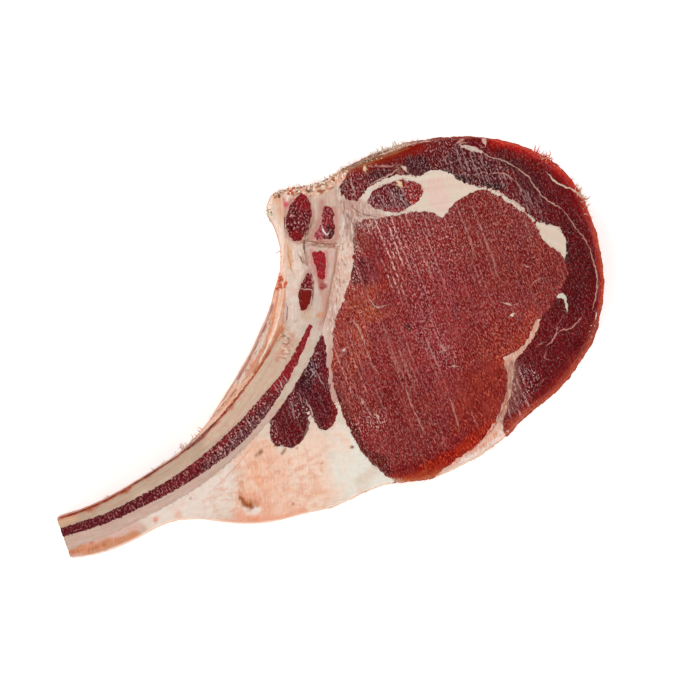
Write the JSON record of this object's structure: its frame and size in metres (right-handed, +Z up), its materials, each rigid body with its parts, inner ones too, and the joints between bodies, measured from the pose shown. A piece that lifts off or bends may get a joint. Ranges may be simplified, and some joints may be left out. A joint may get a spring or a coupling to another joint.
{
  "type": "bone-in rib steak",
  "caption": "Raw bone-in rib steak: an oval eye of meat inside a wrapped cap, seams of fat, a sawn chine and a long curved rib, lying on its flat sawn face.",
  "frame": {"origin": "under the middle of the steak's box, on the sawn face it rests on", "axes": "+Z up through the thickness, +X from the rib's sawn tip towards the cap of the meat, +Y towards the chine"},
  "size_m": [0.2414, 0.186, 0.029],
  "materials": {
    "marrow": "moist spongy bone full of red marrow",
    "red_marrow": "moist crimson spongy bone",
    "compact_bone": "sawn compact bone, smooth and slightly damp",
    "eye_muscle": "raw muscle cut across the grain, moist",
    "dark_muscle": "raw dark muscle, moist and glossy",
    "cap_muscle": "raw cap muscle, moist",
    "seam_fat": "firm cold fat, waxy",
    "skin_fat": "fat under a thin moist skin"
  },
  "bodies": {
    "root": {"rib_marrow": "marrow", "neck_marrow": "red_marrow", "chine_marrow": "marrow", "process_marrow": "red_marrow", "joint_marrow": "marrow", "rib_bone": "compact_bone", "chine_bone": "compact_bone", "intercostal_muscle": "dark_muscle", "eye_muscle": "eye_muscle", "small_muscle": "dark_muscle", "outer_cap_muscle": "cap_muscle", "cap_muscle": "cap_muscle", "lower_seam_fat": "seam_fat", "pleura_fat": "skin_fat", "seam_fat": "seam_fat"}
  },
  "joints": []
}
